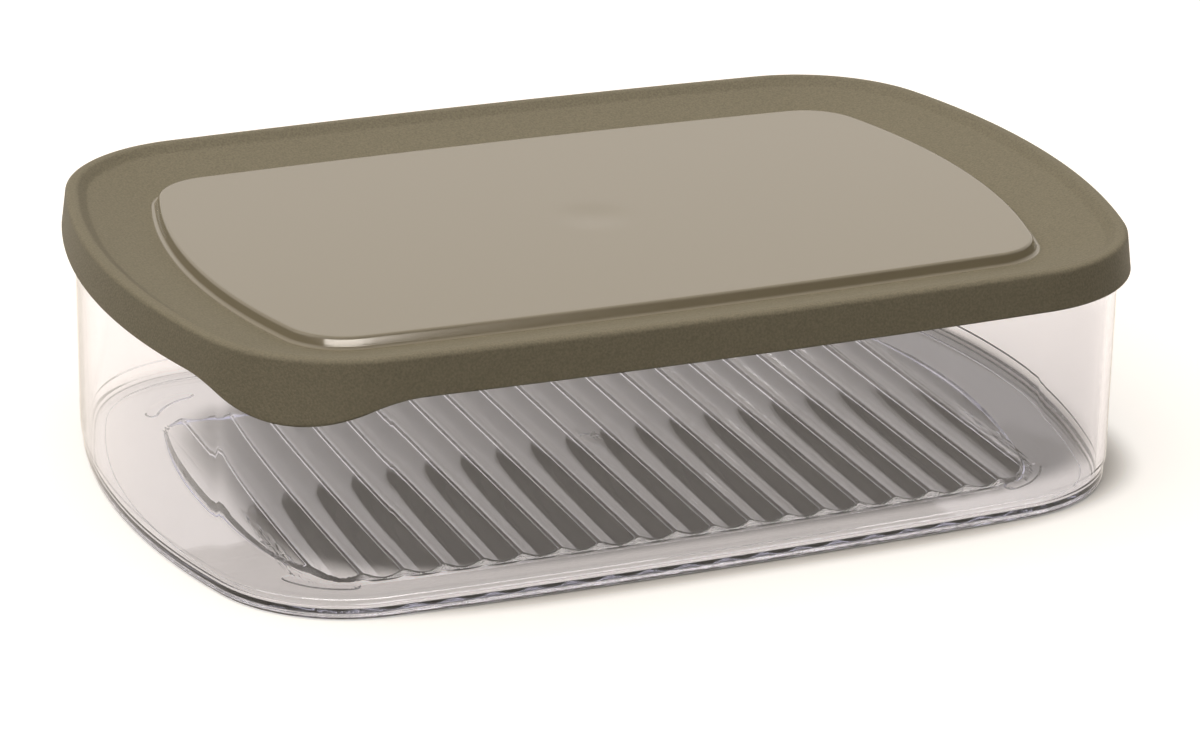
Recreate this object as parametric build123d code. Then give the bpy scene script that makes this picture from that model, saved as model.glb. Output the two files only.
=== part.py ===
from build123d import *
import os
from math import atan, atan2, cos, degrees, hypot, radians, sin, sqrt, tan

os.makedirs("parts", exist_ok=True)

# Outer plan of the lid: a rounded rectangle whose four sides are shallow arcs
lid_length = 235.0
lid_width = 160.0
lid_corner_radius = 36.5
end_bow = 18.5
side_bow = 3.7

# Heights above the surface that the box stands on
overall_height = 59.5
panel_height = 56.7
skirt_bottom_height = 50.4

# Lid, one moulding of even wall
lid_wall = 1.6
skirt_wall = 1.3
rim_wall = 2.0
skirt_draft_inset = 1.2
crown_width = 1.4
rim_width = 4.0
rim_drop = 1.9
gutter_width = 15.9
gutter_drop = 3.6
plug_wall = 1.2
plug_depth = 5.2
plug_clearance = 0.35
shoulder_width = 1.0
shoulder_drop = 0.6
panel_edge_radius = 0.7

# Pull tab at one corner of the skirt
tab_half_span = 27.0
tab_drop = 5.4
tab_crown_share = 0.63

# Box, one clear moulding
wall_thickness = 1.8
skirt_gap = 0.35
wall_draft_inset = 0.65
step_height = 5.3
step_inset = 0.5
foot_edge_radius = 1.3
foot_ring_width = 3.2
foot_ring_height = 0.4
floor_thickness = 1.6
inner_corner_slope = 1.2
lip_chamfer = 0.5

# Ribbed cheese rest moulded on the floor, its plan taken at the rib crests
rib_pitch = 9.0
rib_crest_rise = 1.5
rib_depth = 1.0
rib_crest_flat = 0.5
rest_end_gap = 23.2
rest_side_gap = 20.0
rest_corner_radius = 14.0
rest_end_bow = 12.0
rest_side_bow = 2.8
rest_back_strip = 19.0
rest_back_radius = 4.0
rest_edge_slope = 35.0

# Crescent stacking lugs under the corners and the moulding gate mark
lug_inset = 19.0
lug_width = 3.2
lug_bearing = 52.0
lug_half_angle = 24.0
gate_radius = 2.6
gate_depth = 0.5

# Overlap of pieces of one moulding where they are joined
join_overlap = 2.0
root_overlap = 0.1

# The lid's top is followed from the skirt inwards by distance from the outline
crown_start = skirt_draft_inset + shoulder_width
rim_inner = crown_start + rim_width
gutter_inner = rim_inner + gutter_width
rim_foot_height = overall_height - rim_drop
gutter_height = rim_foot_height - gutter_drop
seat_height = overall_height - rim_wall
wall_top_inset = skirt_draft_inset + skirt_wall + skirt_gap
plug_outer = wall_top_inset + wall_thickness + plug_clearance
wall_foot_inset = wall_top_inset + wall_draft_inset
foot_inset = wall_foot_inset + step_inset
ring_inner = foot_inset + foot_edge_radius + foot_ring_width
floor_height = foot_ring_height + floor_thickness
crest_height = floor_height + rib_crest_rise
rest_length = lid_length - 2 * rest_end_gap
rest_width = lid_width - 2 * rest_side_gap
rest_back_edge = rest_width / 2 - rest_back_strip


class Plan:
    """A rounded rectangle whose four sides are shallow arcs, tangent to the corner arcs."""

    def __init__(self, length, width, corner_radius, end_bow, side_bow):
        self.corner_radius = corner_radius
        self.end_radius = (width**2 / 4 + end_bow**2) / (2 * end_bow)
        self.side_radius = (length**2 / 4 + side_bow**2) / (2 * side_bow)
        self.end_x = length / 2 - self.end_radius
        self.side_y = width / 2 - self.side_radius
        to_side = self.side_radius - corner_radius
        to_end = self.end_radius - corner_radius
        apart = hypot(self.end_x, self.side_y)
        along = (to_side**2 - to_end**2 + apart**2) / (2 * apart)
        across = sqrt(to_side**2 - along**2)
        self.corner_x = (self.end_x * along - self.side_y * across) / apart
        self.corner_y = self.side_y - (self.side_y * along + self.end_x * across) / apart
        self.side_turn = degrees(atan2(self.corner_x, self.corner_y - self.side_y))
        self.end_turn = degrees(atan2(self.corner_y, self.corner_x - self.end_x))

    def corner(self, flip_x, flip_y):
        """The arc of one corner, as centre, radius, start angle and sweep, anticlockwise from +X."""
        centre = (flip_x * self.corner_x, flip_y * self.corner_y)
        quarter = {(1, 1): 0, (-1, 1): 90, (-1, -1): 180, (1, -1): 270}[flip_x, flip_y]
        lead = self.end_turn if flip_x == flip_y else self.side_turn
        return (centre, self.corner_radius, quarter + lead, 90 - self.side_turn - self.end_turn)

    def end(self, flip):
        """The arc of the right end, or with -1 of the left end."""
        return ((flip * self.end_x, 0), self.end_radius, 90 - flip * 90 - self.end_turn, 2 * self.end_turn)

    def side(self, flip):
        """The arc of the back side, or with -1 of the front side."""
        return ((0, flip * self.side_y), self.side_radius, flip * 90 - self.side_turn, 2 * self.side_turn)

    def arcs(self):
        """All eight arcs."""
        flips = (1, -1)
        corners = [self.corner(flip_x, flip_y) for flip_x in flips for flip_y in flips]
        return corners + [self.end(1), self.end(-1), self.side(1), self.side(-1)]

    def face(self, inset=0):
        """The filled plan, drawn in from the outline by the given distance."""
        edges = []
        for centre, radius, start, sweep in self.arcs():
            edges.append(Edge.make_circle(radius - inset, Plane(Vector(*centre, 0)), start, start + sweep))
        return Face(Wire(edges))

    def slab(self, inset, bottom, top):
        """A plate with the plan's outline between two heights."""
        return extrude(Pos(0, 0, bottom) * self.face(inset), top - bottom)


lid_plan = Plan(lid_length, lid_width, lid_corner_radius, end_bow, side_bow)
rest_plan = Plan(rest_length, rest_width, rest_corner_radius, rest_end_bow, rest_side_bow)


def swept_arc(section, arc):
    """The section, drawn as distance inwards and height, turned along one arc of the plan."""
    (cx, cy), radius, start, sweep = arc
    radial = Vector(cos(radians(start)), sin(radians(start)), 0)
    origin = Vector(cx, cy, 0) + radial * radius
    plane = Plane(origin=origin, x_dir=radial * -1, z_dir=radial.rotate(Axis.Z, 90))
    return revolve(plane * section, axis=Axis((cx, cy, 0), (0, 0, 1)), revolution_arc=sweep)


def ring(section, arcs):
    """The section carried round the given arcs as one solid."""
    parts = [swept_arc(section, arc) for arc in arcs]
    return parts[0].fuse(*parts[1:])


def lid_section():
    """Cut through the lid's edge: skirt, rim, gutter, panel edge and the sealing plug below."""
    inner = gutter_inner + lid_wall
    joint = inner + 2 * join_overlap
    slope = gutter_drop / gutter_width
    under_rim = rim_foot_height - lid_wall
    plug_inner = plug_outer + plug_wall
    plug_bottom = seat_height - plug_depth
    plug_root = under_rim - slope * (plug_inner - rim_inner)
    outline = Polyline(
        (0, skirt_bottom_height),
        (skirt_draft_inset, overall_height - shoulder_drop),
        (crown_start, overall_height),
        (crown_start + crown_width, overall_height),
        (rim_inner, rim_foot_height),
        (gutter_inner, gutter_height),
        (gutter_inner, panel_height),
        (joint, panel_height),
        (joint, panel_height - lid_wall),
        (inner, panel_height - lid_wall),
        (inner, gutter_height - lid_wall),
        (gutter_inner, gutter_height - lid_wall),
        (plug_inner, plug_root),
        (plug_inner, plug_bottom),
        (plug_outer, plug_bottom),
        (plug_outer, seat_height),
        (skirt_draft_inset + skirt_wall, seat_height),
        (skirt_wall, skirt_bottom_height),
        close=True,
    )
    face = make_face(outline)
    edge = face.vertices().sort_by_distance((gutter_inner, panel_height))[0]
    return fillet(edge, panel_edge_radius)


def box_section():
    """Cut through the box's wall: stepped foot, drafted wall, bevelled lip and start of the floor."""
    inner_foot = foot_inset + wall_thickness
    joint = ring_inner + 2 * join_overlap
    outline = Polyline(
        (ring_inner, 0),
        (foot_inset, 0),
        (foot_inset, step_height - step_inset),
        (wall_foot_inset, step_height),
        (wall_top_inset, seat_height),
        (wall_top_inset + wall_thickness, seat_height),
        (inner_foot, floor_height),
        (joint, floor_height),
        (joint, foot_ring_height),
        (ring_inner, foot_ring_height),
        close=True,
    )
    face = make_face(outline)
    face = fillet(face.vertices().sort_by_distance((foot_inset, 0))[0], foot_edge_radius)
    face = chamfer(face.vertices().sort_by_distance((inner_foot, floor_height))[0], inner_corner_slope)
    lip = face.vertices().group_by(Axis.Y)[-1]
    return chamfer(lip, lip_chamfer)


def tab_profile():
    """Side view of the pull tab: a flat round bottom that flows into the skirt through reversed arcs."""
    turn = 2 * atan(tab_drop / tab_half_span)
    both = tab_half_span / sin(turn)
    crown = both * tab_crown_share
    flank = both - crown
    bend_x = crown * sin(turn)
    bend_y = -tab_drop + crown * (1 - cos(turn))
    mid_x = tab_half_span - flank * sin(turn / 2)
    mid_y = -flank * (1 - cos(turn / 2))
    left = ThreePointArc((-tab_half_span, 0), (-mid_x, mid_y), (-bend_x, bend_y))
    bottom = ThreePointArc((-bend_x, bend_y), (0, -tab_drop), (bend_x, bend_y))
    right = ThreePointArc((bend_x, bend_y), (mid_x, mid_y), (tab_half_span, 0))
    top = Polyline(
        (tab_half_span, 0),
        (tab_half_span, join_overlap),
        (-tab_half_span, join_overlap),
        (-tab_half_span, 0),
    )
    return make_face([left, bottom, right, top])


def pull_tab():
    """The skirt carried lower at the front left corner, cut to the tab's side view."""
    flare = skirt_draft_inset / (overall_height - shoulder_drop - skirt_bottom_height)
    low = skirt_bottom_height - tab_drop - join_overlap
    out = -flare * (tab_drop + join_overlap)
    top = skirt_bottom_height + join_overlap
    band = make_face(Polyline(
        (out, low),
        (flare * join_overlap, top),
        (flare * join_overlap + skirt_wall, top),
        (out + skirt_wall, low),
        close=True,
    ))
    corner = lid_plan.corner(-1, -1)
    strip = ring(band, [corner, lid_plan.end(-1), lid_plan.side(-1)])
    (cx, cy), radius, start, sweep = corner
    middle = radians(start + sweep / 2)
    outward = Vector(cos(middle), sin(middle), 0)
    point = Vector(cx, cy, skirt_bottom_height) + outward * radius
    view = Plane(origin=point, x_dir=outward.rotate(Axis.Z, 90), z_dir=outward)
    return strip & extrude(view * tab_profile(), radius, both=True)


def lid():
    """The one-piece lid with its raised panel."""
    body = ring(lid_section(), lid_plan.arcs())
    panel = lid_plan.slab(gutter_inner + lid_wall + join_overlap, panel_height - lid_wall, panel_height)
    return body.fuse(panel, pull_tab())


def ribbed_rest():
    """Hollow channels side by side, with narrow crests, trimmed to a drafted island."""
    span = rib_pitch - rib_crest_flat
    rib_count = 2 * int(rest_length / 2 / rib_pitch + 1) + 1
    first = -rib_count / 2 * rib_pitch
    last = -first
    root = foot_ring_height + root_overlap
    line = [Polyline((last, crest_height), (last, root), (first, root), (first, crest_height))]
    for index in range(rib_count):
        crest = first + index * rib_pitch
        start = crest + rib_crest_flat / 2
        end = start + span
        low = (start + span / 2, crest_height - rib_depth)
        line.append(Line((crest, crest_height), (start, crest_height)))
        line.append(ThreePointArc((start, crest_height), low, (end, crest_height)))
        line.append(Line((end, crest_height), (crest + rib_pitch, crest_height)))
    waves = extrude(Plane.XZ * make_face(line), lid_width / 2, both=True)
    return waves & island()


def island():
    """The rest's outline as a plug with sloping sides, straight along its back edge."""
    root = foot_ring_height + root_overlap
    rise = crest_height - root
    spread = rise * tan(radians(rest_edge_slope))
    base = Pos(0, 0, root) * rest_plan.face(-spread)
    behind = Pos(0, rest_back_edge + spread + lid_width / 2, 0) * Box(lid_length, lid_width, lid_width)
    outline = base - behind
    back_corners = outline.vertices().group_by(Axis.Y)[-1]
    outline = fillet(back_corners, rest_back_radius + spread)
    return extrude(outline, rise, taper=rest_edge_slope)


def corner_lugs():
    """Four crescents under the corners that drop round the panel of a lid below."""
    lugs = []
    for flip_x in (1, -1):
        for flip_y in (1, -1):
            centre, radius, _, _ = lid_plan.corner(flip_x, flip_y)
            bearing = radians(lug_bearing)
            middle = degrees(atan2(flip_y * sin(bearing), flip_x * cos(bearing)))
            start = middle - lug_half_angle
            arc = Edge.make_circle(radius - lug_inset, Plane.XY, start, start + 2 * lug_half_angle)
            lug = extrude(SlotArc(arc, lug_width), foot_ring_height + root_overlap)
            lugs.append(Pos(*centre, 0) * lug)
    return lugs


def clear_box():
    """The clear box with its ribbed floor."""
    body = ring(box_section(), lid_plan.arcs())
    plate = lid_plan.slab(ring_inner + join_overlap, foot_ring_height, floor_height)
    body = body.fuse(plate, ribbed_rest(), *corner_lugs())
    gate = Cylinder(gate_radius, gate_depth, align=(Align.CENTER, Align.CENTER, Align.MIN))
    return body - Pos(0, 0, foot_ring_height) * gate


nodes = {
    "clear_box": clear_box(),
    "lid": lid(),
}

for name, shape in nodes.items():
    shape.label = name
    export_step(shape, f"parts/{name}.step")
    size = shape.bounding_box().size
    print(name, round(shape.volume), [round(v, 2) for v in (size.X, size.Y, size.Z)])
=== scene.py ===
"""Looks of a cheese keeper: a clear box with a ribbed floor under a one-piece green-grey lid."""

import logging
import math
from collections.abc import Callable
from dataclasses import dataclass, field
from enum import Enum

import bmesh
import bpy
import numpy as np
from mathutils import Matrix, Vector
from mathutils.geometry import delaunay_2d_cdt


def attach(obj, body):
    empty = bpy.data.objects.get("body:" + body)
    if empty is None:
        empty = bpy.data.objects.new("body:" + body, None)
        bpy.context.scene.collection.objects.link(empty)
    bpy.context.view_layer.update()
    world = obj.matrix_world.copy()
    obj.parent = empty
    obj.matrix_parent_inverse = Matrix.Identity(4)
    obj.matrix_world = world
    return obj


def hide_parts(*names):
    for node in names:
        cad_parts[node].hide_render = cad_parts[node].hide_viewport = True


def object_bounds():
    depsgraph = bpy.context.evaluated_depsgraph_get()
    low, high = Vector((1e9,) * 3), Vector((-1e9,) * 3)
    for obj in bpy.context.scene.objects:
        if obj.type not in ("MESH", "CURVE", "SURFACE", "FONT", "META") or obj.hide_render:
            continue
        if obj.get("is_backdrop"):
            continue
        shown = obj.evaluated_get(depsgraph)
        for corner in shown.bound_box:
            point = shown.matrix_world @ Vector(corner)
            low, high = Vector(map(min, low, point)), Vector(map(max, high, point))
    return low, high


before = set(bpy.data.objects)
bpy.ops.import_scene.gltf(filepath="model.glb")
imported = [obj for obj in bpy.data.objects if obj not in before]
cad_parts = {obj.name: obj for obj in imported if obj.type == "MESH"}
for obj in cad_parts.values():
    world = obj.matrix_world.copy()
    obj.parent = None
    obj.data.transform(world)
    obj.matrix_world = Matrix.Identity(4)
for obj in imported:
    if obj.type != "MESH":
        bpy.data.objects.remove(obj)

MM = 0.001
# Vertices of a mesh that are closer than this, in metres, become one
WELD = 1e-6
# In millimetres: points of a plan that become one, points on one line, and a short step or gap
MERGE = 1e-5
ON_LINE = 1e-4
NEAR = 0.01

log = logging.getLogger("cheese_keeper")

Points = np.ndarray
Field = Callable[[np.ndarray, np.ndarray], np.ndarray]


def linear(colour: str) -> tuple[float, float, float, float]:
    """Turns an sRGB hex colour into the linear values that shaders take.

    Args:
        colour: The colour as "#rrggbb".

    Returns:
        Red, green, blue and an opaque alpha.
    """
    channels = [int(colour[start:start + 2], 16) / 255 for start in (1, 3, 5)]
    bent = [c / 12.92 if c <= 0.04045 else ((c + 0.055) / 1.055) ** 2.4 for c in channels]
    return (bent[0], bent[1], bent[2], 1.0)


def add_node(tree: bpy.types.NodeTree, kind: str, inputs: dict | None = None, **settings) -> bpy.types.Node:
    """Adds one node with its settings, its values and its links.

    Args:
        tree: The tree that the node goes into.
        kind: The node's type name.
        inputs: A value, or the output socket to link, for each input by name or number.
        settings: The node's own properties.

    Returns:
        The new node.
    """
    node = tree.nodes.new(kind)
    for name, value in settings.items():
        setattr(node, name, value)
    for key, value in (inputs or {}).items():
        if isinstance(value, bpy.types.NodeSocket):
            tree.links.new(value, node.inputs[key])
        else:
            node.inputs[key].default_value = value
    return node


def smooth_step(amount: np.ndarray) -> np.ndarray:
    """Eases values from 0 to 1 with level ends."""
    held = np.clip(amount, 0.0, 1.0)
    return held * held * (3 - 2 * held)


class Finish(Enum):
    """The surfaces that the two mouldings have."""

    SPARK_TEXTURED = "spark textured"
    POLISHED = "polished"
    WATER_CLEAR = "water clear"


@dataclass(frozen=True)
class LidPlastic:
    """Low-density polyethylene, injection moulded and coloured right through.

    The rim, gutter and skirt were moulded against spark-eroded steel, which leaves a fine matt
    grain, and the raised panel against polished steel, which leaves it smooth with a soft shine.
    """

    panel_colour: str = "#837b66"
    ior: float = 1.51
    matt_roughness: float = 0.62
    matt_gloss: float = 0.22
    panel_roughness: float = 0.22
    skin: float = 0.5
    skin_roughness: float = 0.06
    grain_mm: float = 0.5
    grain_height_mm: float = 0.13
    grain_detail: float = 2.0
    grain_span: tuple[float, float] = (0.34, 0.66)
    grain_dark: str = "#7b7563"
    grain_light: str = "#8b8571"

    def textured(self) -> bpy.types.Material:
        """Builds the matt surface: a fine even grain that scatters every highlight.

        Returns:
            The material of the rim, gutter, skirt and underside.
        """
        material = bpy.data.materials.new("moulded_polyethylene_spark_textured")
        material.use_nodes = True
        tree = material.node_tree
        shader = tree.nodes["Principled BSDF"]
        shader.inputs["Roughness"].default_value = self.matt_roughness
        shader.inputs["IOR"].default_value = self.ior
        shader.inputs["Specular IOR Level"].default_value = self.matt_gloss
        place = add_node(tree, "ShaderNodeTexCoord")
        # The grain of such steel is taken as 0.1 mm and is drawn five times as coarse, so that it shows
        scale = 1 / (self.grain_mm * MM)
        grain = add_node(
            tree,
            "ShaderNodeTexNoise",
            {"Vector": place.outputs["Object"], "Scale": scale, "Detail": self.grain_detail},
        )
        # The pits of the grain hold a little shade, and its tops catch a little light
        low, high = self.grain_span
        share = add_node(tree, "ShaderNodeMapRange", {"Value": grain.outputs["Fac"], 1: low, 2: high})
        fleck = add_node(
            tree,
            "ShaderNodeMix",
            {0: share.outputs[0], 6: linear(self.grain_dark), 7: linear(self.grain_light)},
            data_type="RGBA",
        )
        tree.links.new(fleck.outputs[2], shader.inputs["Base Color"])
        bump = add_node(
            tree,
            "ShaderNodeBump",
            {"Height": grain.outputs["Fac"], "Distance": self.grain_height_mm * MM, "Strength": 1.0},
        )
        tree.links.new(bump.outputs["Normal"], shader.inputs["Normal"])
        return material

    def polished(self) -> bpy.types.Material:
        """Builds the smooth surface: it mirrors bright things softly, most at a low angle.

        Returns:
            The material of the raised panel and its side.
        """
        material = bpy.data.materials.new("moulded_polyethylene_polished")
        material.use_nodes = True
        shader = material.node_tree.nodes["Principled BSDF"]
        shader.inputs["Base Color"].default_value = linear(self.panel_colour)
        shader.inputs["Roughness"].default_value = self.panel_roughness
        shader.inputs["IOR"].default_value = self.ior
        shader.inputs["Coat Weight"].default_value = self.skin
        shader.inputs["Coat Roughness"].default_value = self.skin_roughness
        return material


@dataclass(frozen=True)
class ClearPlastic:
    """Styrene acrylonitrile, injection moulded in polished steel.

    It is as clear as glass with a slightly higher IOR than most, so edges and ribs gather dark
    and bright lines, and thick edges look faintly blue.
    """

    colour: str = "#fdfdfe"
    depth_colour: str = "#c3c9ee"
    depth_density: float = 48.0
    ior: float = 1.57
    roughness: float = 0.0

    def clear(self) -> bpy.types.Material:
        """Builds the clear plastic.

        Returns:
            The material of the whole box.
        """
        material = bpy.data.materials.new("moulded_styrene_clear")
        material.use_nodes = True
        shader = material.node_tree.nodes["Principled BSDF"]
        shader.inputs["Base Color"].default_value = linear(self.colour)
        shader.inputs["Roughness"].default_value = self.roughness
        shader.inputs["IOR"].default_value = self.ior
        shader.inputs["Transmission Weight"].default_value = 1.0
        # A faint blue through the thickness shows only where light runs along inside the plastic
        depth = add_node(
            material.node_tree,
            "ShaderNodeVolumeAbsorption",
            {"Color": linear(self.depth_colour), "Density": self.depth_density},
        )
        material.node_tree.links.new(
            depth.outputs["Volume"], material.node_tree.nodes["Material Output"].inputs["Volume"]
        )
        return material


@dataclass(frozen=True)
class Plan:
    """A rounded rectangle whose four sides are shallow arcs tangent to the corner arcs, in millimetres."""

    length: float
    width: float
    corner_radius: float
    end_bow: float
    side_bow: float

    @property
    def end_radius(self) -> float:
        """Radius of the arcs of the two ends."""
        return (self.width**2 / 4 + self.end_bow**2) / (2 * self.end_bow)

    @property
    def side_radius(self) -> float:
        """Radius of the arcs of the two long sides."""
        return (self.length**2 / 4 + self.side_bow**2) / (2 * self.side_bow)

    @property
    def end_x(self) -> float:
        """Centre of the right end's arc along X."""
        return self.length / 2 - self.end_radius

    @property
    def side_y(self) -> float:
        """Centre of the back side's arc along Y."""
        return self.width / 2 - self.side_radius

    @property
    def corner(self) -> tuple[float, float]:
        """Centre of the back right corner's arc."""
        to_side = self.side_radius - self.corner_radius
        to_end = self.end_radius - self.corner_radius
        apart = math.hypot(self.end_x, self.side_y)
        along = (to_side**2 - to_end**2 + apart**2) / (2 * apart)
        across = math.sqrt(to_side**2 - along**2)
        x = (self.end_x * along - self.side_y * across) / apart
        y = self.side_y - (self.side_y * along + self.end_x * across) / apart
        return (x, y)

    @property
    def side_turn(self) -> float:
        """Half the angle that a long side's arc turns through."""
        x, y = self.corner
        return math.atan2(x, y - self.side_y)

    @property
    def end_turn(self) -> float:
        """Half the angle that an end's arc turns through."""
        x, y = self.corner
        return math.atan2(y, x - self.end_x)

    def outline(self, steps: int) -> tuple[Points, Points]:
        """Samples the outline anticlockwise from the middle of the right end.

        Args:
            steps: How many points each half side and each corner gets.

        Returns:
            The points and the outward normals there.
        """
        quarter = []
        for step in range(steps):
            quarter.append(((self.end_x, 0), self.end_radius, self.end_turn * step / steps))
        bend = math.pi / 2 - self.side_turn - self.end_turn
        for step in range(steps):
            quarter.append((self.corner, self.corner_radius, self.end_turn + bend * step / steps))
        for step in range(steps):
            angle = math.pi / 2 - self.side_turn * (1 - step / steps)
            quarter.append(((0, self.side_y), self.side_radius, angle))
        quarter.append(((0, self.side_y), self.side_radius, math.pi / 2))
        normals = np.array([(math.cos(turn), math.sin(turn)) for _, _, turn in quarter])
        centres = np.array([centre for centre, _, _ in quarter])
        radii = np.array([[radius] for _, radius, _ in quarter])
        points = centres + normals * radii
        flips = [(1, 1, False), (-1, 1, True), (-1, -1, False), (1, -1, True)]
        around = []
        for flip_x, flip_y, backwards in flips:
            both = np.hstack([points * (flip_x, flip_y), normals * (flip_x, flip_y)])
            both = both[::-1] if backwards else both
            around.append(both[:-1])
        joined = np.vstack(around)
        return joined[:, :2], joined[:, 2:]

    def distance(self, x: np.ndarray, y: np.ndarray) -> np.ndarray:
        """Measures how far places lie outside the outline, or as a negative number inside it."""
        x, y = np.abs(x), np.abs(y)
        corner_x, corner_y = self.corner
        to_end = np.hypot(x - self.end_x, y) - self.end_radius
        to_side = np.hypot(x, y - self.side_y) - self.side_radius
        to_corner = np.hypot(x - corner_x, y - corner_y) - self.corner_radius
        by_end = np.arctan2(y, x - self.end_x) < self.end_turn
        by_side = np.arctan2(x, y - self.side_y) < self.side_turn
        nearest = np.where(by_end & ~by_side, to_end, to_corner)
        nearest = np.where(by_side & ~by_end, to_side, nearest)
        return np.where(by_side & by_end, np.maximum(to_side, to_end), nearest)


@dataclass
class Surface:
    """Vertices and faces gathered for one moulding, in millimetres."""

    points: list[tuple[float, float, float]] = field(default_factory=list)
    faces: list[tuple[int, ...]] = field(default_factory=list)
    finishes: list[Finish] = field(default_factory=list)

    def add(self, points: Points, faces: list[tuple[int, ...]], finishes: list[Finish]) -> None:
        """Adds a patch.

        Args:
            points: Its vertices.
            faces: Its faces, numbered within the patch.
            finishes: The finish of each face.
        """
        start = len(self.points)
        self.points += [tuple(point) for point in points]
        self.faces += [tuple(start + corner for corner in face) for face in faces]
        self.finishes += finishes

    def build(self, name: str, materials: dict[Finish, bpy.types.Material]) -> bpy.types.Object:
        """Makes the object, with the patches welded where they meet.

        Args:
            name: The object's name.
            materials: The material of each of its finishes.

        Returns:
            The object, linked to the scene, in metres.
        """
        mesh = bpy.data.meshes.new(name)
        scaled = [(x * MM, y * MM, z * MM) for x, y, z in self.points]
        mesh.from_pydata(scaled, [], self.faces)
        for material in materials.values():
            mesh.materials.append(material)
        numbers = {finish: number for number, finish in enumerate(materials)}
        mesh.polygons.foreach_set("material_index", [numbers[finish] for finish in self.finishes])
        shape = bmesh.new()
        shape.from_mesh(mesh)
        bmesh.ops.remove_doubles(shape, verts=shape.verts, dist=WELD)
        for face in shape.faces:
            face.smooth = True
        open_edges = sum(1 for edge in shape.edges if not edge.is_manifold)
        shape.to_mesh(mesh)
        shape.free()
        piece = bpy.data.objects.new(name, mesh)
        bpy.context.scene.collection.objects.link(piece)
        log.info("%s: %d faces, %d open edges", name, len(mesh.polygons), open_edges)
        return piece


def rounded(corners: list[tuple[float, float, float]], steps: int = 6, hold: float = 0.12) -> list[tuple]:
    """Rounds the corners of a section drawn as distance inwards and height.

    A point close beside each end of an arc keeps the flats next to it flat in shading.

    Args:
        corners: Inset, height and rounding radius of each corner in order.
        steps: How many pieces each arc has.
        hold: Distance from an arc's end to the point beside it.

    Returns:
        The points of the section.
    """
    path = []
    for index, (inset, height, radius) in enumerate(corners):
        point = Vector((inset, height))
        if radius == 0:
            path.append(tuple(point))
            continue
        back = (Vector(corners[index - 1][:2]) - point).normalized()
        ahead = (Vector(corners[index + 1][:2]) - point).normalized()
        half = back.angle(ahead) / 2
        cut = radius / math.tan(half)
        centre = point + (back + ahead).normalized() * (radius / math.sin(half))
        start = point + back * cut - centre
        turn = start.angle_signed(point + ahead * cut - centre)
        path.append(tuple(point + back * (cut + hold)))
        for step in range(steps + 1):
            angle = -turn * step / steps
            spin = Matrix.Rotation(angle, 2)
            path.append(tuple(centre + spin @ start))
        path.append(tuple(point + ahead * (cut + hold)))
    return path


def ring_faces(rows: int, columns: int) -> list[tuple[int, ...]]:
    """Numbers the quads of a closed ring grid, facing out of the solid."""
    faces = []
    for row in range(rows - 1):
        for column in range(columns):
            after = (column + 1) % columns
            low, high = row * columns, (row + 1) * columns
            faces.append((low + column, high + column, high + after, low + after))
    return faces


def filled(
    edge: Points, inside: Points, height: Field, upwards: bool, lines: list[tuple[int, int]] | None = None
) -> tuple[Points, list[tuple[int, ...]]]:
    """Fills a closed outline with a triangulated height field.

    Args:
        edge: The outline's points in order.
        inside: Places within the outline that the surface passes through.
        height: The height at any place.
        upwards: Whether the surface faces up.
        lines: Pairs of the inside places that have to be joined by an edge.

    Returns:
        The vertices and the faces.
    """
    count = len(edge)
    flat = [Vector(point) for point in np.vstack([edge, inside])]
    loop = [(index, (index + 1) % count) for index in range(count)]
    loop += [(count + start, count + end) for start, end in lines or []]
    places, _, triangles, _, _, _ = delaunay_2d_cdt(flat, loop, [], 0, MERGE, False)
    x = np.array([place.x for place in places])
    y = np.array([place.y for place in places])
    points = np.column_stack([x, y, height(x, y)])
    faces = [tuple(face) if upwards else tuple(reversed(face)) for face in triangles]
    return points, faces


def thinned(points: Points, spacing: float) -> Points:
    """Keeps one of any points that share a small square."""
    _, first = np.unique(np.round(points / spacing), axis=0, return_index=True)
    return points[np.sort(first)]


@dataclass(frozen=True)
class PullTab:
    """The lower part of the skirt at the front left corner, with flanks that flow into it."""

    half_span: float = 27.0
    drop: float = 5.4
    crown_share: float = 0.63

    def fall(self, along: np.ndarray) -> np.ndarray:
        """Works out how far the skirt's edge drops.

        Args:
            along: Distance from the middle of the tab along its chord.

        Returns:
            The drop at each place.
        """
        turn = 2 * math.atan(self.drop / self.half_span)
        both = self.half_span / math.sin(turn)
        crown = both * self.crown_share
        flank = both - crown
        bend = crown * math.sin(turn)
        away = np.abs(along)
        bottom = self.drop - crown + np.sqrt(np.maximum(crown**2 - away**2, 0))
        side = flank - np.sqrt(np.maximum(flank**2 - (self.half_span - away) ** 2, 0))
        fall = np.where(away < bend, bottom, side)
        return np.where(away < self.half_span, fall, 0.0)


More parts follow.
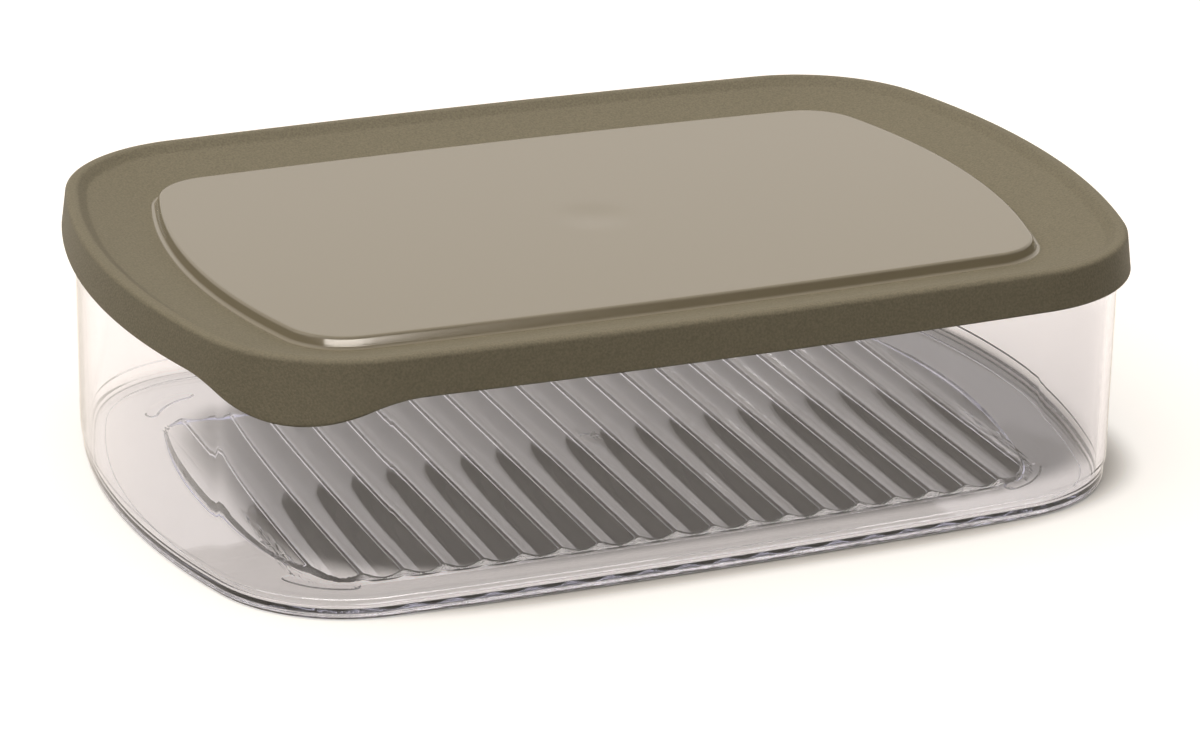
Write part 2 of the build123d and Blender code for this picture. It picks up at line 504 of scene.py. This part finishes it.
@dataclass
class Lid:
    """The lid: skirt with pull tab, rounded rim, sloping gutter, raised panel and a plug below."""

    plan: Plan
    plastic: LidPlastic = LidPlastic()
    tab: PullTab = PullTab()
    steps: int = 28
    top: float = 59.5
    panel_top: float = 56.7
    skirt_bottom: float = 50.4
    draft: float = 1.2
    skirt_wall: float = 1.3
    wall: float = 1.6
    crown_end: float = 3.7
    rim_inner: float = 6.0
    rim_foot: float = 57.7
    gutter_inner: float = 22.1
    panel_lean: float = 0.6
    panel_shoulder: float = 0.25
    panel_rounding: float = 0.75
    panel_foot_rounding: float = 0.85
    rim_foot_rounding: float = 2.2
    crown_rounding: float = 1.6
    skirt_rounding: float = 1.15
    hem_rounding: float = 0.35
    seat_rounding: float = 0.2
    plug_rounding: float = 0.3
    hidden_rounding: float = 0.4
    gutter_height: float = 54.0
    seat_height: float = 57.5
    plug_outer: float = 5.0
    plug_wall: float = 1.2
    plug_depth: float = 5.2
    panel_start: float = 26.0
    dimple_radius: float = 11.0
    dimple_depth: float = 0.22
    dimple_y: float = -1.0
    dimple_margin: float = 3.0
    dimple_rings: int = 14
    dimple_spokes: int = 40

    def panel_section(self) -> list[tuple]:
        """Draws the raised panel's edge, from its level top down to its foot in the gutter."""
        return rounded([
            (self.panel_start, self.panel_top, 0),
            (self.gutter_inner + self.panel_shoulder, self.panel_top, self.panel_rounding),
            (self.gutter_inner - self.panel_lean, self.gutter_height, self.panel_foot_rounding),
            (self.rim_inner, self.rim_foot, 0),
        ])[:-1]

    def rim_section(self) -> list[tuple]:
        """Draws the gutter, the rim and both faces of the skirt, up to the seat inside it."""
        return rounded([
            (self.gutter_inner - self.panel_lean, self.gutter_height, 0),
            (self.rim_inner, self.rim_foot, self.rim_foot_rounding),
            (self.crown_end, self.top, self.crown_rounding),
            (self.draft, self.top, self.skirt_rounding),
            (0.0, self.skirt_bottom, self.hem_rounding),
            (self.skirt_wall, self.skirt_bottom, self.hem_rounding),
            (self.draft + self.skirt_wall, self.seat_height, 0),
        ])[1:]

    def lower_section(self) -> list[tuple]:
        """Draws the hidden face from the seat over the plug to the panel's underside."""
        plug_inner = self.plug_outer + self.plug_wall
        plug_bottom = self.seat_height - self.plug_depth
        slope = (self.rim_foot - self.gutter_height) / (self.gutter_inner - self.rim_inner)
        root = self.rim_foot - self.wall - slope * (plug_inner - self.rim_inner)
        inner = self.gutter_inner + self.wall
        return rounded([
            (self.draft + self.skirt_wall, self.seat_height, 0),
            (self.plug_outer, self.seat_height, self.seat_rounding),
            (self.plug_outer, plug_bottom, self.plug_rounding),
            (plug_inner, plug_bottom, self.plug_rounding),
            (plug_inner, root, self.plug_rounding),
            (self.gutter_inner, self.gutter_height - self.wall, self.hidden_rounding),
            (inner, self.gutter_height - self.wall, self.hidden_rounding),
            (inner, self.panel_top - self.wall, self.hidden_rounding),
            (self.panel_start, self.panel_top - self.wall, 0),
        ])[1:]

    def edge_surface(self, surface: Surface) -> tuple[Points, Points]:
        """Adds everything that runs round the lid.

        Args:
            surface: The moulding's surface.

        Returns:
            The innermost rings of the panel's face and of its underside, in plan.
        """
        outline, normals = self.plan.outline(self.steps)
        panel = self.panel_section()
        section = panel + self.rim_section() + self.lower_section()
        corner_x, corner_y = self.plan.corner
        diagonal = math.pi / 2 - self.plan.side_turn + self.plan.end_turn
        outward = -np.array([math.cos(diagonal / 2), math.sin(diagonal / 2)])
        across = np.array([-outward[1], outward[0]])
        middle = np.array([-corner_x, -corner_y]) + outward * self.plan.corner_radius
        near = (outline - middle) @ outward > -2 * self.plan.corner_radius
        fall = np.where(near, self.tab.fall((outline - middle) @ across), 0.0)
        flare = self.draft / (self.top - self.skirt_bottom)
        skirt_end = self.draft + self.skirt_wall + NEAR
        rows = []
        for inset, height in section:
            share = np.clip((self.seat_height - height) / (self.seat_height - self.skirt_bottom), 0, 1)
            low = fall * share if inset < skirt_end else fall * 0
            place = outline - normals * (inset - flare * low)[:, None]
            rows.append(np.column_stack([place, height - low]))
        faces = ring_faces(len(rows), len(outline))
        polished = (len(panel) - 1) * len(outline)
        finishes = [Finish.POLISHED] * polished + [Finish.SPARK_TEXTURED] * (len(faces) - polished)
        surface.add(np.vstack(rows), faces, finishes)
        return rows[0][:, :2], rows[-1][:, :2]

    def panel_height(self, x: np.ndarray, y: np.ndarray) -> np.ndarray:
        """Gives the panel's face, with the soft sink mark opposite the moulding gate."""
        away = np.hypot(x, y - self.dimple_y) / self.dimple_radius
        return self.panel_top - self.dimple_depth * smooth_step(1 - away)

    def underside_height(self, x: np.ndarray, y: np.ndarray) -> np.ndarray:
        """Gives the panel's level underside."""
        return x * 0 + self.panel_top - self.wall

    def dimple_points(self) -> Points:
        """Places points on circles round the sink mark."""
        points = [(0.0, self.dimple_y)]
        for radius in np.linspace(1, self.dimple_radius + self.dimple_margin, self.dimple_rings):
            for angle in np.linspace(0, 2 * math.pi, self.dimple_spokes, endpoint=False):
                points.append((radius * math.cos(angle), self.dimple_y + radius * math.sin(angle)))
        return np.array(points)

    def build(self) -> bpy.types.Object:
        """Builds, dresses and places the lid.

        Returns:
            The lid.
        """
        surface = Surface()
        upper, lower = self.edge_surface(surface)
        points, faces = filled(upper, self.dimple_points(), self.panel_height, True)
        surface.add(points, faces, [Finish.POLISHED] * len(faces))
        points, faces = filled(lower, np.array([(0.0, 0.0)]), self.underside_height, False)
        surface.add(points, faces, [Finish.SPARK_TEXTURED] * len(faces))
        materials = {
            Finish.SPARK_TEXTURED: self.plastic.textured(),
            Finish.POLISHED: self.plastic.polished(),
        }
        piece = surface.build("keeper_lid", materials)
        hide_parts("lid")
        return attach(piece, "lid_body")


@dataclass(frozen=True)
class RibbedRest:
    """The cheese rest on the floor: hollow channels with narrow crests, cut off straight at the back."""

    plan: Plan
    floor: float = 2.0
    crest: float = 3.5
    depth: float = 1.0
    pitch: float = 9.0
    crest_rounding: float = 0.55
    edge_slope: float = math.radians(35)
    back_strip: float = 19.0
    back_radius: float = 4.0
    beside_crest: tuple[float, ...] = (0.0, 0.12, 0.28, 0.5, 0.9, 1.6, 2.4, 3.4)
    contours: tuple[float, ...] = (-3.0, -1.2, -0.4, 0.0, 0.2, 0.4, 0.6, 0.8, 1.05, 1.35, 3.0)
    contour_spacing: float = 0.7
    row_spacing: float = 3.0
    row_margin: float = 4.0
    end_margin: float = 2.0
    least_spacing: float = 0.08
    least_slope: float = 0.3
    slides: int = 12

    @property
    def back_edge(self) -> float:
        """Where the straight back edge lies."""
        return self.plan.width / 2 - self.back_strip

    def distance(self, x: np.ndarray, y: np.ndarray) -> np.ndarray:
        """Measures how far places lie outside the rest at its crests, or negative inside it."""
        to_plan = self.plan.distance(x, y) + self.back_radius
        to_back = y - self.back_edge + self.back_radius
        inside = np.minimum(np.maximum(to_plan, to_back), 0)
        outside = np.hypot(np.maximum(to_plan, 0), np.maximum(to_back, 0))
        return inside + outside - self.back_radius

    def height(self, x: np.ndarray, y: np.ndarray) -> np.ndarray:
        """Gives the floor's upper face: channels with arc hollows, trimmed by a sloping edge."""
        half = self.pitch / 2
        away = np.abs((x % self.pitch) - half)
        soft = np.sqrt(away**2 + self.crest_rounding**2) - self.crest_rounding
        radius = (half**2 + self.depth**2) / (2 * self.depth)
        from_middle = half - np.minimum(soft, half)
        hollow = self.crest - self.depth + radius - np.sqrt(radius**2 - from_middle**2)
        slope = self.crest - np.maximum(self.distance(x, y), 0) / math.tan(self.edge_slope)
        return np.maximum(np.minimum(hollow, slope), self.floor)

    def columns(self) -> np.ndarray:
        """Places the lines along the ribs, closest together at each crest."""
        half = self.pitch / 2
        offsets = sorted({side * step for step in self.beside_crest for side in (1, -1)} | {half})
        reach = self.plan.length / 2 + self.end_margin
        count = int(reach / self.pitch) + 1
        crests = [(index + 0.5) * self.pitch for index in range(-count - 1, count + 1)]
        lines = np.array([crest + offset for crest in crests for offset in offsets])
        return lines[np.abs(lines) < reach]

    def settled(self, seeds: Points, level: float, axis: int) -> Points:
        """Slides points along one axis onto a contour of the rest's outline.

        Args:
            seeds: Where the points start.
            level: Distance outside the outline.
            axis: 0 to slide along X, 1 along Y.

        Returns:
            Those points that reach the contour.
        """
        points = seeds.astype(float).copy()
        nudge = np.zeros(2)
        nudge[axis] = NEAR
        for _ in range(self.slides):
            here = self.distance(*points.T) - level
            ahead = self.distance(*(points + nudge).T) - level
            steep = (ahead - here) / NEAR
            safe = np.where(np.abs(steep) < self.least_slope, np.inf, steep)
            points[:, axis] -= here / safe
        reached = np.abs(self.distance(*points.T) - level) < NEAR
        return points[reached]

    def points(self) -> Points:
        """Gathers the places that the floor's upper face has to pass through."""
        lines = self.columns()
        half_width = self.plan.width / 2
        half_length = self.plan.length / 2
        gathered = []
        cross_rows = np.arange(-half_width, self.back_edge, self.contour_spacing)
        for level in self.contours:
            for start in (-half_width, self.back_edge):
                seeds = np.column_stack([lines, lines * 0 + start])
                gathered.append(self.settled(seeds, level, 1))
            for start in (-half_length, half_length):
                seeds = np.column_stack([cross_rows * 0 + start, cross_rows])
                gathered.append(self.settled(seeds, level, 0))
        rows = np.arange(-half_width, self.back_edge, self.row_spacing)
        grid = np.array([(x, y) for x in lines for y in rows])
        gathered.append(grid[self.distance(*grid.T) < -self.row_margin])
        return thinned(np.vstack(gathered), self.least_spacing)

    def rib_lines(self, points: Points) -> list[tuple[int, int]]:
        """Joins the points on each line along the ribs, so that no face cuts across a crest.

        Args:
            points: The places that a face of the floor passes through.

        Returns:
            Pairs of neighbours along each line.
        """
        pairs = []
        for line in self.columns():
            on_line = np.flatnonzero(np.abs(points[:, 0] - line) < ON_LINE)
            order = on_line[np.argsort(points[on_line, 1])]
            pairs += list(zip(order[:-1].tolist(), order[1:].tolist()))
        return pairs


@dataclass
class Underside:
    """The floor's lower face: it follows the ribs at an even wall, with stacking lugs and a gate mark."""

    plan: Plan
    rest: RibbedRest
    level: float = 0.4
    lug_inset: float = 19.0
    lug_width: float = 3.2
    lug_bearing: float = math.radians(52)
    lug_half_angle: float = math.radians(24)
    gate_radius: float = 2.6
    gate_depth: float = 0.5
    gate_middle: float = 1.5
    gate_spokes: int = 36
    edge_run: float = 0.3
    edge_margin: float = 0.2
    lug_steps: int = 28
    lug_end_steps: int = 10
    least_spacing: float = 0.06

    def lug_distance(self, x: np.ndarray, y: np.ndarray) -> np.ndarray:
        """Measures how far places lie outside the nearest lug."""
        corner_x, corner_y = self.plan.corner
        x, y = np.abs(x) - corner_x, np.abs(y) - corner_y
        radius = self.plan.corner_radius - self.lug_inset
        low = self.lug_bearing - self.lug_half_angle
        angle = np.clip(np.arctan2(y, x), low, low + 2 * self.lug_half_angle)
        near_x, near_y = radius * np.cos(angle), radius * np.sin(angle)
        return np.hypot(x - near_x, y - near_y) - self.lug_width / 2

    def height(self, x: np.ndarray, y: np.ndarray) -> np.ndarray:
        """Gives the floor's lower face."""
        wave = self.rest.height(x, y) - self.rest.floor
        lug = np.clip(-self.lug_distance(x, y) / self.edge_run, 0, 1)
        gate = np.clip((self.gate_radius - np.hypot(x, y)) / self.edge_run, 0, 1)
        return self.level + wave - (self.level + wave) * lug + self.gate_depth * gate

    def points(self) -> Points:
        """Gathers the places that the lower face has to pass through."""
        gathered = [(0.0, 0.0)]
        gate = self.gate_radius
        for radius in (gate + self.edge_margin, gate, gate - self.edge_run, self.gate_middle):
            for angle in np.linspace(0, 2 * math.pi, self.gate_spokes, endpoint=False):
                gathered.append((radius * math.cos(angle), radius * math.sin(angle)))
        middle = self.plan.corner_radius - self.lug_inset
        corner_x, corner_y = self.plan.corner
        low = self.lug_bearing - self.lug_half_angle
        high = self.lug_bearing + self.lug_half_angle
        half = self.lug_width / 2
        quarter = []
        for offset in (half + self.edge_margin, half, half - self.edge_run, half - 2 * self.edge_run):
            for angle in np.linspace(low, high, self.lug_steps):
                for side in (offset, -offset):
                    reach = middle + side
                    quarter.append((reach * math.cos(angle), reach * math.sin(angle)))
            for angle, turn in ((low, -1), (high, 1)):
                for step in range(1, self.lug_end_steps):
                    bend = angle + turn * math.pi * step / self.lug_end_steps
                    x = middle * math.cos(angle) + offset * math.cos(bend)
                    y = middle * math.sin(angle) + offset * math.sin(bend)
                    quarter.append((x, y))
        for x, y in quarter:
            for flip_x in (1, -1):
                for flip_y in (1, -1):
                    gathered.append((flip_x * (corner_x + x), flip_y * (corner_y + y)))
        return thinned(np.vstack([np.array(gathered), self.rest.points()]), self.least_spacing)


@dataclass
class ClearBox:
    """The clear box: drafted wall with a rounded lip, stepped foot and ribbed floor."""

    plan: Plan
    rest: RibbedRest
    underside: Underside
    plastic: ClearPlastic = ClearPlastic()
    steps: int = 28
    top: float = 57.5
    outer_top: float = 2.85
    outer_foot: float = 2.9
    wall: float = 1.8
    step_height: float = 5.3
    step_inset: float = 0.5
    inner_foot: float = 4.9
    floor_start: float = 9.0
    foot_inner: float = 8.5
    under_start: float = 10.0
    floor_rounding: float = 1.6
    lip_rounding: float = 0.6
    step_rounding: float = 0.2
    foot_rounding: float = 1.3
    foot_inner_rounding: float = 0.2
    under_rounding: float = 0.15

    def section(self) -> list[tuple]:
        """Draws the wall from the floor's upper face over the lip and down to the lower face."""
        foot = self.outer_foot + self.step_inset
        return rounded([
            (self.floor_start, self.rest.floor, 0),
            (self.inner_foot, self.rest.floor, self.floor_rounding),
            (self.outer_top + self.wall, self.top, self.lip_rounding),
            (self.outer_top, self.top, self.lip_rounding),
            (self.outer_foot, self.step_height, self.step_rounding),
            (foot, self.step_height - self.step_inset, self.step_rounding),
            (foot, 0.0, self.foot_rounding),
            (self.foot_inner, 0.0, self.foot_inner_rounding),
            (self.foot_inner, self.underside.level, self.under_rounding),
            (self.under_start, self.underside.level, 0),
        ])

    def build(self) -> bpy.types.Object:
        """Builds, dresses and places the box.

        Returns:
            The box.
        """
        outline, normals = self.plan.outline(self.steps)
        rows = []
        for inset, height in self.section():
            place = outline - normals * inset
            rows.append(np.column_stack([place, place[:, 0] * 0 + height]))
        surface = Surface()
        faces = ring_faces(len(rows), len(outline))
        surface.add(np.vstack(rows), faces, [Finish.WATER_CLEAR] * len(faces))
        for edge, side, upwards in ((rows[0], self.rest, True), (rows[-1], self.underside, False)):
            places = side.points()
            lines = self.rest.rib_lines(places)
            points, faces = filled(edge[:, :2], places, side.height, upwards, lines)
            surface.add(points, faces, [Finish.WATER_CLEAR] * len(faces))
        piece = surface.build("keeper_box", {Finish.WATER_CLEAR: self.plastic.clear()})
        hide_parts("clear_box")
        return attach(piece, "box_body")


@dataclass(frozen=True)
class FloorShade:
    """A painted shadow on the floor, rounded like the box and with a soft edge, in millimetres."""

    centre: tuple[float, float]
    half_length: float
    half_width: float
    full: float

    def outside(self, tree: bpy.types.NodeTree) -> bpy.types.NodeSocket:
        """Rises from 0 in the painted shadow to 1 on the open floor round it.

        Args:
            tree: The floor's tree.

        Returns:
            The socket with the rise.
        """
        place = add_node(tree, "ShaderNodeTexCoord")
        middle = (self.centre[0] * MM, self.centre[1] * MM, 0.0)
        moved = add_node(
            tree, "ShaderNodeVectorMath", {0: place.outputs["Object"], 1: middle}, operation="SUBTRACT"
        )
        shares = (1 / (self.half_length * MM), 1 / (self.half_width * MM), 0.0)
        scaled = add_node(
            tree, "ShaderNodeVectorMath", {0: moved.outputs[0], 1: shares}, operation="MULTIPLY"
        )
        # Squaring each share first makes the contour a rounded rectangle
        squared = add_node(
            tree, "ShaderNodeVectorMath", {0: scaled.outputs[0], 1: scaled.outputs[0]}, operation="MULTIPLY"
        )
        away = add_node(tree, "ShaderNodeVectorMath", {0: squared.outputs[0]}, operation="LENGTH")
        rise = add_node(
            tree,
            "ShaderNodeMapRange",
            {"Value": away.outputs["Value"], 1: 1.0, 2: self.full},
            interpolation_type="SMOOTHSTEP",
        )
        return rise.outputs[0]


@dataclass(frozen=True)
class Studio:
    """Pale floor, a narrow field of light overhead and a soft lamp high on the left.

    Each kind of ray meets the room and the floor at a level of its own, which stands in for the
    lamps and screens of a real studio.
    """

    floor_size: float = 6.0
    floor_gap_mm: float = 0.03
    floor_colour: str = "#d9d5cf"
    floor_bounce: str = "#45413c"
    open_colour: str = "#fffdfa"
    through_colour: str = "#fdf3e8"
    camera_lift: float = 0.62
    clear_lift: float = 0.66
    # Painted shadow: rays through the clear plastic see the floor's glow held back under the ribs
    shadow_under_ribs: FloorShade = FloorShade((14.0, 0.0), 98.0, 57.5, 1.25)
    # Painted contact shadow: the camera sees the floor's glow drop round the foot
    contact_shadow: FloorShade = FloorShade((6.0, 1.0), 107.5, 77.0, 1.20)
    contact_shadow_level: float = 0.08
    light_axis: tuple[float, float, float] = (-0.22, -0.12, 0.97)
    light_span: tuple[float, float] = (0.56, 0.95)
    light_level: float = 2.05
    light_dim: float = 0.01
    seen_axis: tuple[float, float, float] = (-0.10, 0.80, 0.60)
    seen_span: tuple[float, float] = (-0.50, 0.10)
    seen_level: float = 1.0
    seen_dim: float = 0.12
    seen_colour: str = "#fbf3ea"
    backdrop_level: float = 1.0
    backdrop_colour: str = "#ffffff"
    key_power: float = 2.2
    key_size: float = 1.1
    key_colour: str = "#fffaf2"
    key_place: tuple[float, float, float] = (-1.00, 0.10, 1.00)
    strip_direction: tuple[float, float, float] = (-0.30, -0.90, 0.30)
    strip_span: tuple[float, float] = (0.83, 0.86)
    strip_bottom: tuple[float, float] = (0.12, 0.17)
    strip_top: tuple[float, float] = (0.32, 0.38)
    strip_strength: float = 14.0
    gleam_direction: tuple[float, float, float] = (0.37, -0.63, 0.69)
    gleam_span: tuple[float, float] = (0.80, 0.95)
    gleam_strength: float = 9.0

    def ray(self, tree: bpy.types.NodeTree, kind: str) -> bpy.types.NodeSocket:
        """Gives the Light Path output of that name, held between 0 and 1."""
        path = add_node(tree, "ShaderNodeLightPath")
        held = add_node(tree, "ShaderNodeMath", {0: path.outputs[kind], 1: 1.0}, operation="MINIMUM")
        return held.outputs[0]

    def build_floor(self) -> None:
        """Lays the floor: a pale matt sheet that also glows, with painted shadows under the ribs and round
        the foot.
        """
        half = self.floor_size / 2
        edge = [(-half, -half, 0), (half, -half, 0), (half, half, 0), (-half, half, 0)]
        mesh = bpy.data.meshes.new("studio_floor")
        mesh.from_pydata(edge, [], [(0, 1, 2, 3)])
        floor = bpy.data.objects.new("studio_floor", mesh)
        floor.location.z = -self.floor_gap_mm * MM
        bpy.context.scene.collection.objects.link(floor)
        material = bpy.data.materials.new("painted_studio_floor")
        material.use_nodes = True
        tree = material.node_tree
        tree.nodes.remove(tree.nodes["Principled BSDF"])
        carried = self.ray(tree, "Diffuse Depth")
        seen = add_node(tree, "ShaderNodeMath", {0: 1.0, 1: carried}, operation="SUBTRACT")
        # Painted shadow under the ribs, in the glow that rays through the clear plastic see
        clear = add_node(
            tree,
            "ShaderNodeMath",
            {0: self.shadow_under_ribs.outside(tree), 1: self.clear_lift},
            operation="MULTIPLY",
        )
        through = add_node(
            tree, "ShaderNodeMath", {0: clear.outputs[0], 1: seen.outputs[0]}, operation="MULTIPLY"
        )
        # Painted contact shadow round the foot, in the glow that the camera sees
        open_floor = add_node(
            tree,
            "ShaderNodeMix",
            {0: self.contact_shadow.outside(tree), 2: self.contact_shadow_level, 3: self.camera_lift},
            data_type="FLOAT",
        )
        camera = self.ray(tree, "Is Camera Ray")
        lift = add_node(
            tree,
            "ShaderNodeMix",
            {0: camera, 2: through.outputs[0], 3: open_floor.outputs[0]},
            data_type="FLOAT",
        )
        hue = add_node(
            tree,
            "ShaderNodeMix",
            {0: camera, 6: linear(self.through_colour), 7: linear(self.open_colour)},
            data_type="RGBA",
        )
        colour = add_node(
            tree,
            "ShaderNodeMix",
            {0: carried, 6: linear(self.floor_colour), 7: linear(self.floor_bounce)},
            data_type="RGBA",
        )
        paint = add_node(tree, "ShaderNodeBsdfDiffuse", {"Color": colour.outputs[2]})
        glow = add_node(tree, "ShaderNodeEmission", {"Color": hue.outputs[2], "Strength": lift.outputs[0]})
        both = add_node(tree, "ShaderNodeAddShader", {0: paint.outputs[0], 1: glow.outputs[0]})
        tree.links.new(both.outputs[0], tree.nodes["Material Output"].inputs["Surface"])
        mesh.materials.append(material)
        floor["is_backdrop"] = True

    def by_direction(
        self,
        tree: bpy.types.NodeTree,
        axis: tuple[float, float, float],
        span: tuple[float, float],
        levels: tuple[float, float],
    ) -> bpy.types.NodeSocket:
        """Gives a level that changes smoothly with the direction in the room.

        Args:
            tree: The world's tree.
            axis: The direction that the change goes towards.
            span: The shares of that direction where the change starts and ends.
            levels: The levels before and after the change.

        Returns:
            The socket with the level.
        """
        place = add_node(tree, "ShaderNodeTexCoord")
        towards = tuple(Vector(axis).normalized())
        share = add_node(
            tree,
            "ShaderNodeVectorMath",
            {0: place.outputs["Generated"], 1: towards},
            operation="DOT_PRODUCT",
        )
        level = add_node(
            tree,
            "ShaderNodeMapRange",
            {"Value": share.outputs["Value"], 1: span[0], 2: span[1], 3: levels[0], 4: levels[1]},
            interpolation_type="SMOOTHSTEP",
        )
        return level.outputs[0]

    def build_world(self) -> None:
        """Paints the room's light and what the surfaces mirror, by direction in the room."""
        world = bpy.data.worlds.new("studio_world")
        bpy.context.scene.world = world
        world.use_nodes = True
        tree = world.node_tree
        light_levels = (self.light_dim, self.light_level)
        light = self.by_direction(tree, self.light_axis, self.light_span, light_levels)
        seen = self.by_direction(tree, self.seen_axis, self.seen_span, (self.seen_dim, self.seen_level))
        strip_levels = (0.0, self.strip_strength)
        ahead = self.by_direction(tree, self.strip_direction, self.strip_span, strip_levels)
        upwards = (0.0, 0.0, 1.0)
        over = self.by_direction(tree, upwards, self.strip_bottom, (0.0, 1.0))
        below = self.by_direction(tree, upwards, self.strip_top, (1.0, 0.0))
        strip = self.ray(tree, "Is Glossy Ray")
        for part in (ahead, over, below):
            strip = add_node(tree, "ShaderNodeMath", {0: strip, 1: part}, operation="MULTIPLY").outputs[0]
        gleam_levels = (0.0, self.gleam_strength)
        gleam = self.by_direction(tree, self.gleam_direction, self.gleam_span, gleam_levels)
        through = self.ray(tree, "Is Transmission Ray")
        mirrored = add_node(tree, "ShaderNodeMath", {0: strip, 1: seen}, operation="ADD")
        inside = add_node(
            tree, "ShaderNodeMath", {0: gleam, 1: through, 2: mirrored.outputs[0]}, operation="MULTIPLY_ADD"
        )
        carried = self.ray(tree, "Diffuse Depth")
        level = add_node(
            tree, "ShaderNodeMix", {0: carried, 2: inside.outputs[0], 3: light}, data_type="FLOAT"
        )
        camera = self.ray(tree, "Is Camera Ray")
        final = add_node(
            tree,
            "ShaderNodeMix",
            {0: camera, 2: level.outputs[0], 3: self.backdrop_level},
            data_type="FLOAT",
        )
        tint = add_node(
            tree,
            "ShaderNodeMix",
            {0: camera, 6: linear(self.seen_colour), 7: linear(self.backdrop_colour)},
            data_type="RGBA",
        )
        background = tree.nodes["Background"]
        tree.links.new(final.outputs[0], background.inputs["Strength"])
        tree.links.new(tint.outputs[2], background.inputs["Color"])

    def build_key(self) -> None:
        """Hangs the large soft lamp high on the left."""
        lamp = bpy.data.lights.new("key_softbox", "AREA")
        lamp.energy = self.key_power
        lamp.size = self.key_size
        lamp.color = linear(self.key_colour)[:3]
        key = bpy.data.objects.new("key_softbox", lamp)
        key.location = self.key_place
        key.rotation_euler = (-Vector(self.key_place)).to_track_quat("-Z", "Y").to_euler()
        bpy.context.scene.collection.objects.link(key)

    def build(self) -> None:
        """Sets up floor, world and lamp."""
        self.build_floor()
        self.build_world()
        self.build_key()
        log.info("studio: floor, world and key softbox")


@dataclass(frozen=True)
class Viewpoint:
    """The camera as found from the photograph, aimed at a point inside the box, in millimetres."""

    azimuth: float = math.radians(-23.2135)
    elevation: float = math.radians(21.0269)
    roll: float = math.radians(1.0547)
    distance: float = 983.32
    target: tuple[float, float, float] = (2.711, 0.092, 18.259)
    lens: float = 127.671
    sensor: float = 36.0

    def build(self) -> None:
        """Makes the camera and gives it to the scene."""
        back = Vector((
            math.sin(self.azimuth) * math.cos(self.elevation),
            -math.cos(self.azimuth) * math.cos(self.elevation),
            math.sin(self.elevation),
        ))
        level = Vector((0, 0, 1)).cross(back).normalized()
        upright = back.cross(level)
        right = level * math.cos(self.roll) + upright * math.sin(self.roll)
        up = upright * math.cos(self.roll) - level * math.sin(self.roll)
        lens = bpy.data.cameras.new("photo_camera")
        lens.sensor_fit = "HORIZONTAL"
        lens.sensor_width = self.sensor
        lens.lens = self.lens
        camera = bpy.data.objects.new("photo_camera", lens)
        turn = Matrix((right, up, back)).transposed().to_4x4()
        camera.matrix_world = Matrix.Translation((Vector(self.target) + back * self.distance) * MM) @ turn
        bpy.context.scene.collection.objects.link(camera)
        bpy.context.scene.camera = camera
        log.info("camera: %.0f mm away", self.distance)


def corners(box: tuple[Vector, Vector]) -> list[list[float]]:
    """Writes a box as plain lists."""
    return [list(corner) for corner in box]


def main() -> None:
    """Builds the object and its studio."""
    logging.basicConfig(level=logging.INFO, format="%(message)s")
    cad_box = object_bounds()
    bpy.context.scene.view_settings.view_transform = "Standard"
    Viewpoint().build()
    outer = Plan(length=235.0, width=160.0, corner_radius=36.5, end_bow=18.5, side_bow=3.7)
    crests = Plan(length=188.6, width=120.0, corner_radius=14.0, end_bow=12.0, side_bow=2.8)
    rest = RibbedRest(crests)
    ClearBox(outer, rest, Underside(outer, rest)).build()
    Lid(outer).build()
    Studio().build()
    {"cad": corners(cad_box), "visual": corners(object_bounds())}


if __name__ == "__main__":
    main()
